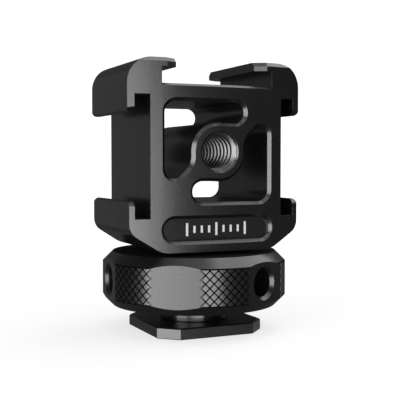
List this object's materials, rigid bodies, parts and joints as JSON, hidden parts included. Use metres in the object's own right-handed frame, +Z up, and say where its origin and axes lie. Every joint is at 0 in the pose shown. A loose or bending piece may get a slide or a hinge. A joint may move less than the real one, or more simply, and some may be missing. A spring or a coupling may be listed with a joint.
{
  "type": "triple accessory shoe adapter",
  "caption": "Block with an accessory shoe channel on its top and both sides and a tapped centre hole, on a shoe foot clamped by a knurled lock ring.",
  "frame": {"origin": "centre of the foot plate's underside, which is also the bottom centre of the bounding box", "axes": "+Z up along the post; -Y is the direction the frame's front face with the recess looks; the side shoes open towards -X and +X"},
  "size_m": [0.0294, 0.03, 0.0432],
  "materials": {
    "frame": "black anodised, satin",
    "ring": "black anodised, satin, diamond knurled",
    "foot": "black anodised, semi-gloss",
    "insert": "bare, turned",
    "fasteners": "bare, turned",
    "washer": "matte"
  },
  "bodies": {
    "adapter": {"shoe_frame": "frame", "thread_insert": "insert", "foot_plate": "foot", "foot_post": "foot", "clamp_screw": "fasteners", "frame_pins": "fasteners", "foot_pins": "fasteners"},
    "washer": {"slip_washer": "washer"},
    "ring": {"lock_ring": "ring"}
  },
  "joints": [
    {"name": "ring_travel", "type": "slide", "parent": "adapter", "child": "washer", "axis": [0, 0, 1], "range_m": [-0.0022, 0.0005]},
    {"name": "ring_turn", "type": "hinge", "parent": "washer", "child": "ring", "pos_m": [0, 0, 0.0086], "axis": [0, 0, 1], "range_deg": [-790, 179]}
  ],
  "couplings": [
    {"joint": "ring_travel", "follows": "ring_turn", "m_per_rad": 0.00015915}
  ]
}
